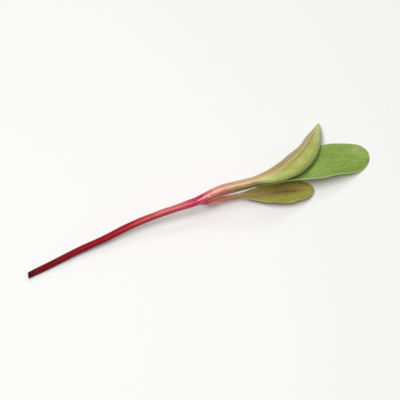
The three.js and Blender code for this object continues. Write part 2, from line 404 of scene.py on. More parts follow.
def swell(along, across, seed, size):
    """Gentle seeded unevenness over a surface, from about -1 to 1."""
    rng = np.random.default_rng(seed)
    total = 0
    for _ in range(SWELL_WAVES):
        turn = rng.uniform(0, math.pi)
        pace = rng.uniform(0.7, 1.6) * 2 * math.pi / size
        phase = rng.uniform(0, 2 * math.pi)
        total = total + np.sin(pace * (along * math.cos(turn) + across * math.sin(turn)) + phase)
    return total / SWELL_PEAK


# How many points of a line are tried as the nearest one, and for how many places at once
NEAREST_PICKS = 420
NEAREST_BATCH = 4096


class CentreLine:
    """A smooth line through points, read by distance from its start."""

    def __init__(self, points):
        given = np.asarray(points, float)
        padded = np.vstack([2 * given[0] - given[1], given, 2 * given[-1] - given[-2]])
        share = np.linspace(0, 1, LINE_STEPS, endpoint=False)[:, None]
        parts = []
        for before, start, end, after in zip(padded, padded[1:], padded[2:], padded[3:]):
            leave, arrive = (end - before) / 2, (after - start) / 2
            cubic = 2 * start - 2 * end + leave + arrive
            square = 3 * end - 3 * start - 2 * leave - arrive
            parts.append(((cubic * share + square) * share + leave) * share + start)
        self.points = np.vstack([*parts, given[-1:]])
        steps = np.linalg.norm(np.diff(self.points, axis=0), axis=1)
        self.distances = np.concatenate([[0], np.cumsum(steps)])
        self.length = self.distances[-1]
        self.directions = unit(np.gradient(self.points, self.distances, axis=0))

    def at(self, distance):
        """The centres and directions at these distances, straight on past both ends."""
        centre = self._read(self.points, distance)
        along = unit(self._read(self.directions, distance))
        past = distance - np.clip(distance, 0, self.length)
        return centre + along * past[:, None], along

    def frames(self, distance, roll=0.0):
        """Centre, direction, side and upper face, turned about the line by roll."""
        centre, along = self.at(distance)
        level = unit(np.cross(UP, along))
        rise = np.cross(along, level)
        turn = np.radians(roll * np.ones(len(distance)))[:, None]
        side = level * np.cos(turn) + rise * np.sin(turn)
        face = rise * np.cos(turn) - level * np.sin(turn)
        return centre, along, side, face

    def nearest(self, places):
        """The distance along the line of the point nearest to each place, and how far off."""
        picks = np.linspace(0, len(self.points) - 1, NEAREST_PICKS).astype(int)
        found = np.empty(len(places), int)
        for start in range(0, len(places), NEAREST_BATCH):
            batch = slice(start, start + NEAREST_BATCH)
            gap = places[batch, None] - self.points[picks][None]
            found[batch] = picks[np.argmin((gap ** 2).sum(-1), axis=1)]
        ahead = ((places - self.points[found]) * self.directions[found]).sum(-1)
        distance = self.distances[found] + ahead
        off = places - self.at(np.clip(distance, 0, self.length))[0]
        return distance, np.linalg.norm(off, axis=1)

    def _read(self, values, distance):
        return np.column_stack([np.interp(distance, self.distances, v) for v in values.T])


# Meshes

def section_points(centre, side, face, sideways, rise):
    """The points of each section of a line, from how far they lie to its side and face."""
    return (centre[:, None] + side[:, None] * sideways[..., None]
            + face[:, None] * rise[..., None])


def ring_faces(rings, count):
    """Quads between rings of points that run round a tube."""
    ring = np.arange(rings - 1)[:, None] * count
    here = np.arange(count)[None]
    there = (here + 1) % count
    a, b = ring + here, ring + there
    return np.stack([a, b, b + count, a + count], axis=-1).reshape(-1, 4)


def mesh_of(name, points, faces):
    mesh = bpy.data.meshes.new(name)
    mesh.from_pydata(points.tolist(), [], [f.tolist() for f in faces])
    mesh.update()
    return mesh


def place_piece(name, points, faces, readings, material, node):
    """A finished piece in metres, with its readings for the material, on its CAD node."""
    mesh = mesh_of(name, (points + CROWN_PLACE) * MM, faces)
    mesh.shade_smooth()
    for reading, values in readings.items():
        vector = values.ndim == 2
        layer = mesh.attributes.new(reading, "FLOAT_VECTOR" if vector else "FLOAT", "POINT")
        layer.data.foreach_set("vector" if vector else "value",
                               values.astype(np.float32).ravel())
    mesh.materials.append(material)
    piece = bpy.data.objects.new(name, mesh)
    bpy.context.scene.collection.objects.link(piece)
    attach(piece, "root")
    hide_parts(node)
    return piece


def leaf_sizes(form, sizes, length, distance):
    """The section of a leaf at these distances along it, in millimetres."""
    stalk = sizes.stalk_length / MM
    blade = np.clip((distance - stalk) / (length - stalk), 0, 1)
    flared = 1 + STALK_FLARE * np.exp(-distance / FLARE_LENGTH)
    opened = smoothstep(blade, -BLADE_RUN_IN, form["widest"])
    past = np.maximum(0, (blade - form["widest"]) / (1 - form["widest"]))
    rounding = np.maximum(1e-6, 1 - past ** form["tip_fullness"]) ** form["tip_roundness"]
    flattened = smoothstep(blade, 0, BLADE_FLATTENING)
    stalk_half, blade_half = sizes.stalk_half_width / MM, sizes.blade_half_width / MM
    stalk_thick = sizes.stalk_thickness / MM * flared
    return {
        "blade": blade,
        "flattened": flattened,
        "half_width": lerp(stalk_half * flared, blade_half, opened) * rounding,
        "thickness": lerp(stalk_thick, sizes.blade_thickness / MM, flattened),
        "rim": lerp(stalk_thick, sizes.rim_thickness / MM, flattened),
        "rib": sizes.rib_height / MM * flattened * (1 - smoothstep(blade, *RIDGE_FADE)),
    }


def side_veins(form, sizes, length):
    """Side veins of a leaf as (distance along, distance from the midrib), each looping on
    towards the next one before it reaches the rim."""
    stalk = sizes.stalk_length / MM
    rng = np.random.default_rng(form["seed"])
    share = np.linspace(0, 1, VEIN_POINTS)
    veins = []
    for side in (1, -1):
        roots = np.linspace(*VEIN_ROOTS, form["vein_pairs"]) + VEIN_STAGGER * (side > 0)
        roots = roots + rng.uniform(-VEIN_JITTER, VEIN_JITTER, len(roots))
        for root in roots:
            run = form["vein_run"] * (1 - VEIN_SHORTENING * root)
            run = min(run * rng.uniform(*VEIN_LENGTHS), VEIN_TIP - root)
            blade = root + run * share ** 1.2
            distance = stalk + blade * (length - stalk)
            half = leaf_sizes(form, sizes, length, distance)["half_width"]
            reach = VEIN_REACH * (1 - (1 - share) ** 1.45)
            veins.append(np.column_stack([distance, side * reach * half]))
    return veins


def vein_mask(veins, distance, sideways):
    """How strongly each place lies on a side vein, from 0 to 1."""
    places = np.stack([distance, sideways], axis=-1)
    strongest = np.zeros(distance.shape)
    for vein in veins:
        for k in range(len(vein) - 1):
            start, step = vein[k], vein[k + 1] - vein[k]
            along = np.clip(((places - start) @ step) / (step @ step), 0, 1)
            gap = np.linalg.norm(places - start - along[..., None] * step, axis=-1)
            share = k / (len(vein) - 1)
            strength = 1 - 0.9 * share ** 1.5
            mask = strength * bump(gap, lerp(*VEIN_WIDTHS, share))
            np.maximum(strongest, mask, out=strongest)
    return strongest


def leaf_half_section(size):
    """For points from the rim to the midrib: how far in from the rim, and half the
    thickness there. A stalk's section is an oval, a blade's a sheet with a round rim."""
    count = RIM_POINTS + HALF_POINTS
    half_width, flattened = size["half_width"][:, None], size["flattened"][:, None]
    turn = np.linspace(0, math.pi / 2, count + 1)[None]
    oval_in = half_width * (1 - np.cos(turn))
    oval_half = size["thickness"][:, None] / 2 * np.sin(turn)
    rim = np.minimum(size["rim"][:, None] / 2, half_width)
    round_turn = np.linspace(0, math.pi / 2, RIM_POINTS + 1)[None]
    share = np.linspace(0, 1, HALF_POINTS + 1)[None, 1:]
    sheet_in = np.hstack([rim * (1 - np.cos(round_turn)), rim + (half_width - rim) * share])
    inner_half = lerp(rim, size["thickness"][:, None] / 2, smoothstep(share, 0, 0.8))
    sheet_half = np.hstack([rim * np.sin(round_turn), inner_half])
    return lerp(oval_in, sheet_in, flattened), lerp(oval_half, sheet_half, flattened)


def round_section(values, mirror=1):
    """Values from the left rim to the midrib, carried on to the other rim and then back
    underneath. The right half is the left one times mirror."""
    over = np.hstack([values, mirror * values[:, -2::-1]])
    return np.hstack([over, over[:, -2:0:-1]])


def leaf_surface(form, sizes):
    """The points of a leaf's closed skin, ring by ring, and the readings at each point."""
    line = CentreLine(form["line"])
    length = line.length
    share = np.linspace(0, 1, LEAF_RINGS)
    eased = 1 - (1 - share) ** LEAF_EASING
    distance = lerp(HIDDEN_LENGTH, length * TIP_END, eased)
    size = leaf_sizes(form, sizes, length, distance)
    grown = lerp(HIDDEN_SHARE, 1.0, smoothstep(distance, HIDDEN_LENGTH, GROWN_LENGTH))
    for key in ("half_width", "thickness", "rim"):
        size[key] = size[key] * grown
    inset, half = leaf_half_section(size)

    width, flattened = size["half_width"][:, None], size["flattened"][:, None]
    sideways = round_section(width - inset, -1)
    half, inset = round_section(half), round_section(inset)
    over = np.arange(sideways.shape[1]) <= sideways.shape[1] // 2
    far = np.broadcast_to(distance[:, None], sideways.shape)
    blade = np.broadcast_to(size["blade"][:, None], sideways.shape)
    across = sideways / width
    veins = vein_mask(side_veins(form, sizes, length), far, sideways) * flattened
    veins = veins * smoothstep(inset, *VEIN_FADE)
    midrib = bump(sideways, RIB_WIDTH) * flattened * (1 - smoothstep(blade, *MIDRIB_FADE))
    fine = swell(far, sideways, form["seed"] + 1, FINE_SWELL)
    fine = fine * flattened * smoothstep(inset, *FINE_FADE)
    broad = swell(far, sideways, form["seed"] + 2, BROAD_SWELL) * flattened

    # A round end in the last stretch before the tip, as thin as the rim
    to_tip = length - far
    rim = np.minimum(size["rim"][:, None] / 2, width + 0.02)
    rounded = np.sqrt(1 - (1 - np.clip(to_tip / rim, 0, 1)) ** 2)

    groove = GROOVE_DEPTH * bump(sideways, GROOVE_WIDTH) * (1 - flattened)
    above = half * (1 - groove) - MIDRIB_GROOVE * midrib
    above = above - VEIN_DEPTHS[0] * veins + FINE_HEIGHTS[0] * fine
    below = -half - size["rib"][:, None] * bump(sideways, RIB_WIDTH)
    below = below - VEIN_DEPTHS[1] * veins - FINE_HEIGHTS[1] * fine
    offset = np.where(over, above, below) * rounded

    curl = np.radians(keyed(form["curl"], distance / length))[:, None]
    centre, _, side, face = line.frames(distance, keyed(form["roll"], distance / length))
    angle = across * curl
    radius = width / curl
    wave = sizes.wave / MM
    ripple = wave * np.sin(2 * math.pi * form["waves"] * blade + across) * across ** 2
    flutter = np.sin(FLUTTER_PACE * math.pi * form["waves"] * blade
                     + FLUTTER_STEP * np.sign(across))
    ripple = ripple + FLUTTER_SHARE * wave * flutter * np.abs(across) ** 3
    ripple = (ripple + BROAD_HEIGHT * broad) * flattened
    along_side = radius * np.sin(angle) - np.sin(angle) * offset
    along_face = radius * (1 - np.cos(angle)) + ripple + np.cos(angle) * offset
    points = section_points(centre, side, face, along_side, along_face)
    points[..., 2] = np.maximum(points[..., 2], 0)

    readings = {
        "place": np.stack([far, sideways, offset], axis=-1),
        "reach": far,
        "blade": blade,
        "across": across,
        "under": np.broadcast_to(np.where(over, 0.0, 1.0), far.shape),
        "rim": np.exp(-np.minimum(inset, to_tip) / PALE_RIM_AND_HIGHLIGHT),
        "midrib": midrib,
        "veins": veins,
    }
    return points, readings


def build_leaf(name, form, sizes, material):
    points, readings = leaf_surface(form, sizes)
    rings, count = points.shape[:2]
    faces = [ring_faces(rings, count)]
    middle = count // 2
    for start, turned in ((0, False), ((rings - 1) * count, True)):
        here = np.arange(middle)
        there = (count - here) % count
        a, b = start + here, start + here + 1
        c, d = start + (count - here - 1) % count, start + there
        cap = np.stack([a, b, c, d] if turned else [d, c, b, a], axis=-1)
        faces.append(cap[1:-1])
        ends = np.array([[a[0], b[0], c[0]], [a[-1], b[-1], d[-1]]])
        faces.append(ends if turned else ends[:, ::-1])
    flat = {key: values.reshape(-1, 3) if values.ndim == 3 else values.ravel()
            for key, values in readings.items()}
    all_faces = [face for part in faces for face in part]
    place_piece(name, points.reshape(-1, 3), all_faces, flat, material, form["node"])


# Stem and crown

def stem_tube(line, sizes):
    """The closed tube of the stem, a little longer than the cut stem, with its crown."""
    share = np.linspace(0, 1, STEM_RINGS)
    distance = lerp(-PAST_CUT, line.length, 1 - (1 - share) ** STEM_EASING)
    to_top = line.length - distance
    swollen = 1 - smoothstep(to_top, CROWN_ROUNDING, CROWN_LENGTH)
    in_rounding = np.maximum(0, 1 - to_top / CROWN_ROUNDING)
    rounded = np.maximum(CROWN_TIP_SHARE, np.sqrt(1 - in_rounding ** 2))
    along_share = np.clip(distance / line.length, 0, 1)
    plain = lerp(sizes.cut_radius / MM, sizes.top_radius / MM, along_share)
    radius = (plain + sizes.swelling / MM * swollen) * rounded
    flatness = lerp(1.0, CROWN_FLATNESS, swollen)
    centre, _, side, face = line.frames(distance)
    turn = np.linspace(0, 2 * math.pi, STEM_SIDES, endpoint=False)[None]
    points = section_points(centre, side, face, radius[:, None] * np.cos(turn),
                            (radius * flatness)[:, None] * np.sin(turn))
    faces = ring_faces(STEM_RINGS, STEM_SIDES)
    return points.reshape(-1, 3), faces, STEM_RINGS


def stub_tube(form, sizes):
    """The closed stub of one leaf stalk, which the crown holds."""
    line = CentreLine(form["line"])
    distance = np.linspace(0, STUB_LENGTH, STUB_RINGS)
    size = leaf_sizes(form, sizes, line.length, distance)
    turn = np.linspace(0, 2 * math.pi, STEM_SIDES, endpoint=False)[None]
    tapered = smoothstep(distance, STUB_FULL_LENGTH, STUB_LENGTH)
    drawn_in = lerp(1.0, STUB_END_SHARE, tapered)[:, None]
    sideways = size["half_width"][:, None] * np.cos(turn)
    rise = size["thickness"][:, None] / 2 * np.sin(turn)
    groove = np.where(rise > 0, GROOVE_DEPTH * bump(sideways, GROOVE_WIDTH), 0)
    rise = rise * (1 - groove) * drawn_in
    centre, _, side, face = line.frames(distance, keyed(form["roll"], distance / line.length))
    points = section_points(centre, side, face, sideways * drawn_in, rise)
    return points.reshape(-1, 3), ring_faces(STUB_RINGS, STEM_SIDES), STUB_RINGS


def grown_together(tubes):
    """Closed tubes as one skin, remeshed in small cells and smoothed where they meet."""
    points, faces, start = [], [], 0
    for tube_points, tube_faces, rings in tubes:
        points.append(tube_points)
        faces.extend((tube_faces + start).tolist())
        last = start + (rings - 1) * STEM_SIDES
        faces.append(list(range(start + STEM_SIDES - 1, start - 1, -1)))
        faces.append(list(range(last, last + STEM_SIDES)))
        start += len(tube_points)
    mesh = bpy.data.meshes.new("stem_draft")
    mesh.from_pydata(np.vstack(points).tolist(), [], faces)
    draft = bpy.data.objects.new("stem_draft", mesh)
    bpy.context.scene.collection.objects.link(draft)
    cells = draft.modifiers.new("Cells", "REMESH")
    cells.mode = "VOXEL"
    cells.voxel_size = STEM_VOXEL
    skin = draft.evaluated_get(bpy.context.evaluated_depsgraph_get()).to_mesh()
    co = np.empty(len(skin.vertices) * 3, np.float32)
    skin.vertices.foreach_get("co", co)
    quads = np.array([tuple(p.vertices) for p in skin.polygons])
    bpy.data.objects.remove(draft)
    bpy.data.meshes.remove(mesh)
    points = smoothed(co.reshape(-1, 3).astype(float), quads, SKIN_ROUNDS,
                      SKIN_STEP_BACK, 1.0)
    from_crown = np.linalg.norm(points - np.array(STEM_LINE[-1]), axis=1)[:, None]
    fillet = 1 - smoothstep(from_crown, FILLET_FULL, FILLET_END)
    return smoothed(points, quads, FILLET_ROUNDS, FILLET_STEP_BACK, fillet), quads


def smoothed(points, quads, rounds, step_back, weight):
    """Points moved towards their neighbours and part of the way back, so little shrinks."""
    ends = np.vstack([quads[:, [0, 1]], quads[:, [1, 2]], quads[:, [2, 3]], quads[:, [3, 0]]])
    ends = np.unique(np.sort(ends, axis=1), axis=0)
    one, other = ends.T
    size = len(points)
    count = np.bincount(ends.ravel(), minlength=size)[:, None]
    for _ in range(rounds):
        for step in (SMOOTH_STEP, step_back):
            total = np.column_stack([
                np.bincount(one, points[other, k], size) + np.bincount(other, points[one, k], size)
                for k in range(3)])
            points = points + weight * step * (total / count - points)
    return points


def outward(points, quads):
    """The normal of the surface at each point."""
    a, b, c, d = (points[quads[:, k]] for k in range(4))
    facing = np.cross(c - a, d - b)
    normals = np.zeros_like(points)
    for k in range(4):
        np.add.at(normals, quads[:, k], facing)
    return unit(normals)


def stem_relief(line, points, sizes):
    """How far low ribs, fine ridges and slight knots stand off the stem's plain skin."""
    distance, _ = line.nearest(points)
    from_crown = np.linalg.norm(points - np.array(STEM_LINE[-1]), axis=1)
    on_stub = smoothstep(from_crown, *STUB_SMOOTH) * (distance > line.length - 0.5)
    centre, _, side, face = line.frames(distance)
    off = points - centre
    turn = np.arctan2((off * face).sum(-1), (off * side).sum(-1))
    ribs = sizes.rib_height / MM * np.cos(sizes.rib_count * (turn + RIB_TWIST * distance))
    (high, coarse), (low, close) = RIDGES
    ridges = high * np.cos(coarse * turn + 0.5 * np.sin(distance * 0.31))
    ridges += low * np.cos(close * turn - 0.09 * distance)
    knots = KNOT_HEIGHT * swell(distance, 1.2 * turn, KNOT_SEED, KNOT_SPACING)
    fade = 1 - smoothstep(distance, *(line.length - end for end in RELIEF_FADE))
    at_cut = 1 - smoothstep(distance, 0, PINCH_LENGTH)
    pinch = -PINCH_DEPTH * at_cut * (1 + 0.5 * np.cos(2 * turn + 0.6))
    relief = (ribs * (1 - 0.5 * at_cut) + ridges) * (0.25 + 0.75 * fade) + knots + pinch
    return relief * (1 - on_stub)


# The cut face from its rim to its middle: share of the radius, how deep it lies in
# millimetres, and its reading, from 0 on the skin to 1 in the core
CUT_RINGS = [
    (0.975, 0.012, 0.06), (0.93, 0.03, 0.16), (0.86, 0.06, 0.26), (0.78, 0.085, 0.36),
    (0.7, 0.1, 0.44), (0.62, 0.1, 0.52), (0.55, 0.075, 0.6), (0.48, 0.05, 0.68),
    (0.41, 0.045, 0.75), (0.33, 0.06, 0.82), (0.24, 0.085, 0.88), (0.14, 0.1, 0.94),
]


def in_order(edges):
    """The points of a closed loop of edges, one after the other."""
    neighbours = {}
    for edge in edges:
        for vert in edge.verts:
            neighbours.setdefault(vert, []).append(edge.other_vert(vert))
    first = edges[0].verts[0]
    loop, here, before = [first], neighbours[first][0], first
    while here is not first:
        loop.append(here)
        onward = [v for v in neighbours[here] if v is not before]
        before, here = here, onward[0]
    return loop


def cut_face(shape, line, sizes):
    """Cuts the stem's end off at a slant and closes it with the stem's inner rings."""
    centre, along, side, _ = (part[0] for part in line.frames(np.array([0.0])))
    facing = unit(along - sizes.cut_slant * side)
    inside = shape.verts.layers.float.new("cut")
    cut = bmesh.ops.bisect_plane(
        shape, geom=shape.verts[:] + shape.edges[:] + shape.faces[:], plane_co=centre,
        plane_no=-facing, clear_outer=True)
    rim_edges = [e for e in cut["geom_cut"] if isinstance(e, bmesh.types.BMEdge)]
    for edge in rim_edges:
        edge.smooth = False
    outer = in_order(rim_edges)
    rim = np.array([v.co for v in outer])
    middle = rim.mean(axis=0)
    for share, depth, reading in CUT_RINGS:
        ring = []
        for k, place in enumerate(rim):
            wander = math.sin(3 * k * 2 * math.pi / len(rim) + 9 * share)
            uneven = 1 + CUT_UNEVENNESS * wander
            rounder = lerp(np.linalg.norm(rim - middle, axis=1).mean(),
                           np.linalg.norm(place - middle), share ** 2)
            spot = middle + unit(place - middle) * rounder * share * uneven + facing * depth
            vert = shape.verts.new(spot)
            vert[inside] = reading
            ring.append(vert)
        for k in range(len(rim)):
            nxt = (k + 1) % len(rim)
            shape.faces.new([outer[k], outer[nxt], ring[nxt], ring[k]])
        outer = ring
    hub = shape.verts.new(middle + facing * CUT_RINGS[-1][1])
    hub[inside] = 1.0
    for k in range(len(rim)):
        shape.faces.new([outer[k], outer[(k + 1) % len(rim)], hub])
    bmesh.ops.recalc_face_normals(shape, faces=shape.faces)


def stem_skin(line, sizes, leaves):
    """The stem's skin with its relief and its cut end: its points and faces, the reading of
    the cut at each point, and the sharp edges round the cut as pairs of points."""
    tubes = [stem_tube(line, sizes)] + [stub_tube(form, leaf) for form, leaf in leaves]
    points, quads = grown_together(tubes)
    points = points + outward(points, quads) * stem_relief(line, points, sizes)[:, None]
    points[:, 2] = np.maximum(points[:, 2], 0)

    shape = bmesh.new()
    draft = mesh_of("stem_draft", points, quads)
    shape.from_mesh(draft)
    bpy.data.meshes.remove(draft)
    cut_face(shape, line, sizes)
    shape.verts.index_update()
    points = np.array([v.co for v in shape.verts])
    faces = [np.array([v.index for v in f.verts]) for f in shape.faces]
    layer = shape.verts.layers.float["cut"]
    inside = np.array([v[layer] for v in shape.verts])
    sharp = {frozenset(v.index for v in e.verts) for e in shape.edges if not e.smooth}
    shape.free()
    return points, faces, inside, sharp


def build_stem(settings, material):
    line = CentreLine(STEM_LINE)
    leaves = [(UPPER_SEED_LEAF, settings.upper_leaf), (LOWER_SEED_LEAF, settings.lower_leaf),
              (TRUE_LEAF, settings.true_leaf), (LEAF_BUD, settings.bud)]
    points, faces, inside, sharp = stem_skin(line, settings.stem, leaves)
    distance, _ = line.nearest(points)
    centre, _, side, face = line.frames(distance)
    off = points - centre
    reach = distance - line.length
    for form, _ in leaves:
        stalk_distance, gap = CentreLine(form["line"]).nearest(points)
        on_stalk = (stalk_distance > STALK_FROM) & (gap < STALK_GAP)
        reach = np.where(on_stalk, np.maximum(reach, stalk_distance), reach)
    readings = {
        "place": np.column_stack([distance, (off * side).sum(-1), (off * face).sum(-1)]),
        "reach": reach,
        "cut": inside,
    }
    piece = place_piece("stem_with_crown", points, faces, readings, material,
                        "stem")
    for edge in piece.data.edges:
        if frozenset(edge.vertices) in sharp:
            edge.use_edge_sharp = True


# Shader nodes

class Nodes:
    """Adds nodes to one shader tree. An input takes a number, a colour or the output of
    another node."""

    def __init__(self, tree):
        self.tree = tree

    def feed(self, socket, value):
        if isinstance(value, bpy.types.NodeSocket):
            self.tree.links.new(value, socket)
        elif isinstance(value, (int, float)):
            socket.default_value = value
        else:
            socket.default_value = (tuple(value) + (1.0,))[:len(socket.default_value)]

    def put(self, kind, inputs=(), **settings):
        """A new node with its settings, and its inputs fed by name or number."""
        node = self.tree.nodes.new("ShaderNode" + kind)
        for key, value in settings.items():
            setattr(node, key, value)
        for key, value in dict(inputs).items():
            self.feed(node.inputs[key], value)
        return node

    def mixed(self, factor, first, second, blend="MIX"):
        mix = self.put("Mix", {0: factor, 6: first, 7: second},
                       data_type="RGBA", blend_type=blend)
        return mix.outputs[2]

    def maths(self, operation, first, *others):
        """One operation, carried out on each further value in turn."""
        for other in others:
            first = self.put("Math", {0: first, 1: other}, operation=operation).outputs[0]
        return first

    def times(self, *values):
        return self.maths("MULTIPLY", *values)

    def plus(self, *values):
        return self.maths("ADD", *values)

    def one_over(self, value):
        return self.maths("DIVIDE", 1.0, value)

    def size_of(self, value):
        return self.maths("ABSOLUTE", value, 0.0)

    def eased(self, value, low, high, start=0.0, end=1.0):
        """A smooth step from start to end as the value goes from low to high."""
        node = self.put("MapRange", {"Value": value, "From Min": low, "From Max": high,
                                     "To Min": start, "To Max": end},
                        interpolation_type="SMOOTHSTEP")
        return node.outputs[0]

    def stretched(self, vector, scales):
        return self.put("VectorMath", {0: vector, 1: scales}, operation="MULTIPLY").outputs[0]

    def lengthwise(self, vector, along, across):
        """A vector scaled along the plant and across it."""
        scales = self.put("CombineXYZ", {0: along, 1: across, 2: across}).outputs[0]
        return self.stretched(vector, scales)

    def reading(self, name, output="Fac"):
        """What the mesh gives at each point under this name."""
        return self.put("Attribute", attribute_name=name).outputs[output]

    def group(self, name, inputs):
        """The outputs of a shared group, placed with the values given."""
        return self.put("Group", inputs, node_tree=shared_group(name)).outputs

    def mask(self, name, place, **values):
        """The mask that a shared group gives at a place."""
        return self.group(name, {"Vector": place, **values})["Mask"]


# Shared effects. Each takes the nodes of its group and the values given, and returns what
# the group puts out.

FLUSH_COLOURS = ("Cut", "Low", "High", "Crown", "Foot", "Stalk")

# Where each red eases into the next, in millimetres from the crown, and how far that wanders
FLUSH_STEPS = ((-38.2, -35), (-34, -12), (-8, -0.5), (0.6, 4.8), (4.5, 10.5))
FLUSH_WANDER = 0.9


def flush_along_plant(nodes, given):
    """The red of the whole plant by distance from the crown: nearly black at the cut end,
    crimson up the stem, pink in the crown, salmon at the foot of the stalks and cream
    along them. It wanders by the place in the part's frame, so it runs on over the joints."""
    cloud = nodes.put("TexNoise", {"Vector": given["Place"], "Scale": 0.9, "Detail": 3.0})
    wander = nodes.eased(cloud.outputs[0], 0.3, 0.7, -FLUSH_WANDER, FLUSH_WANDER)
    reach = nodes.plus(given["Reach"], wander)
    colour = given[FLUSH_COLOURS[0]]
    for (start, end), name in zip(FLUSH_STEPS, FLUSH_COLOURS[1:]):
        colour = nodes.mixed(nodes.eased(reach, start, end), colour, given[name])
    return {"Color": colour}


def lengthwise_streaks(nodes, given):
    """Fine lengthwise streaks, as in the skin of a stem."""
    moved = nodes.lengthwise(given["Vector"], nodes.one_over(given["Length"]),
                             given["Fineness"])
    noise = nodes.put("TexNoise", {"Vector": moved, "Scale": 1.0, "Detail": 4.0,
                                   "Roughness": 0.6})
    return {"Mask": nodes.eased(noise.outputs[0], 0.34, 0.66)}


def soft_patches(nodes, given):
    """Soft cloudy patches."""
    noise = nodes.put("TexNoise", {"Vector": given["Vector"], "Detail": given["Detail"],
                                   "Scale": nodes.one_over(given["Size"]), "Distortion": 0.4})
    return {"Mask": nodes.eased(noise.outputs[0], 0.32, 0.68)}


def skin_cells(nodes, given):
    """The tiny domed cells of the skin: their height, and the glint of some of them."""
    moved = nodes.lengthwise(given["Vector"], nodes.one_over(given["Stretch"]), 1.0)
    size = nodes.one_over(given["Cell Size"])
    cells = nodes.put("TexVoronoi", {"Vector": moved, "Scale": size, "Smoothness": 0.35},
                      feature="SMOOTH_F1")
    dome = nodes.eased(cells.outputs["Distance"], 0.75, 0.05)
    picked = nodes.put("SeparateColor", {0: cells.outputs["Color"]}).outputs[0]
    return {"Height": dome, "Glint": nodes.times(dome, nodes.eased(picked, 0.55, 0.95))}


def vein_net(nodes, given):
    """The net of the finest veins between the side veins, coarse and fine."""
    blur = nodes.put("TexNoise", {"Vector": given["Vector"], "Scale": 1.3, "Detail": 2.0})
    shifted = nodes.put("VectorMath", {0: blur.outputs["Color"], 1: (0.35, 0.35, 0.35),
                                       2: given["Vector"]}, operation="MULTIPLY_ADD")
    moved = nodes.stretched(shifted.outputs[0], (0.62, 1.0, 0.25))
    masks = []
    for share, weight in ((1.0, 1.0), (2.3, 0.55)):
        scale = nodes.maths("DIVIDE", share, given["Mesh Size"])
        web = nodes.put("TexVoronoi", {"Vector": moved, "Scale": scale},
                        feature="DISTANCE_TO_EDGE")
        masks.append(nodes.times(nodes.eased(web.outputs[0], 0.1, 0.0), weight))
    return {"Mask": nodes.maths("MAXIMUM", *masks)}


def specks(nodes, given):
    """A few tiny round specks."""
    dots = nodes.put("TexVoronoi", {"Vector": given["Vector"],
                                    "Scale": nodes.one_over(given["Spacing"])})
    picked = nodes.put("SeparateColor", {0: dots.outputs["Color"]}).outputs[0]
    chosen = nodes.maths("LESS_THAN", picked, given["Share"])
    return {"Mask": nodes.times(nodes.eased(dots.outputs["Distance"], 0.2, 0.08), chosen)}


# What builds each shared group, the inputs that it takes and the outputs that it gives
GROUPS = {
    "Flush Along Plant": (flush_along_plant, ("Reach", "Place", *FLUSH_COLOURS), ("Color",)),
    "Lengthwise Streaks": (lengthwise_streaks, ("Vector", "Fineness", "Length"), ("Mask",)),
    "Soft Patches": (soft_patches, ("Vector", "Size", "Detail"), ("Mask",)),
    "Skin Cells": (skin_cells, ("Vector", "Cell Size", "Stretch"), ("Height", "Glint")),
    "Vein Net": (vein_net, ("Vector", "Mesh Size"), ("Mask",)),
    "Specks": (specks, ("Vector", "Spacing", "Share"), ("Mask",)),
}


def socket_kind(label):
    """Whether a group's socket takes a vector, a colour or a number, from its label."""
    if label in ("Vector", "Place"):
        return "NodeSocketVector"
    return "NodeSocketColor" if label in ("Color", *FLUSH_COLOURS) else "NodeSocketFloat"


def shared_group(name):
    """The shared shader group of this name, built when it is first used."""
    made = bpy.data.node_groups.get(name)
    if made:
        return made
    build, taken, results = GROUPS[name]
    tree = bpy.data.node_groups.new(name, "ShaderNodeTree")
    for way, labels in (("INPUT", taken), ("OUTPUT", results)):
        for label in labels:
            tree.interface.new_socket(label, in_out=way, socket_type=socket_kind(label))
    given = tree.nodes.new("NodeGroupInput").outputs
    out = tree.nodes.new("NodeGroupOutput").inputs
    nodes = Nodes(tree)
    for label, value in build(nodes, given).items():
        nodes.feed(out[label], value)
    return tree


# Materials

def new_material(name):
    material = bpy.data.materials.new(name)
    material.use_nodes = True
    material.node_tree.nodes.clear()
    return material, Nodes(material.node_tree)


def finish_skin(nodes, colour, roughness, height, depth, values):
    """The Principled shader of a piece, with its bump and its plain values."""
    relief = nodes.put("Bump", {"Height": height, "Distance": depth, "Strength": 1.0})
    shader = nodes.put("BsdfPrincipled", {"Base Color": colour, "Roughness": roughness,
                                          "Normal": relief.outputs[0], **values})
    nodes.put("OutputMaterial", {0: shader.outputs[0]})


def plant_flush(nodes, stem, reach):
    """The plant's own red at a distance from the crown."""
    in_frame = nodes.put("TexCoord").outputs["Object"]
    colours = {name: getattr(stem, name.lower() + "_colour") for name in FLUSH_COLOURS}
    return nodes.group("Flush Along Plant", {
        "Reach": reach, "Place": nodes.stretched(in_frame, [1 / MM] * 3), **colours})["Color"]


# The cut face: how far in each of its colours starts and is full, and the colour
CUT_FLESH = ((0.1, 0.3, "8c2a34"), (0.48, 0.58, "5c0a14"), (0.66, 0.78, "a85a50"))
CUT_RIM = "3c0509"

# The pale pink of the stem's upper side below the crown: a painted highlight where the light from
# above falls
PAINTED_HIGHLIGHT_PINK = "ec928a"


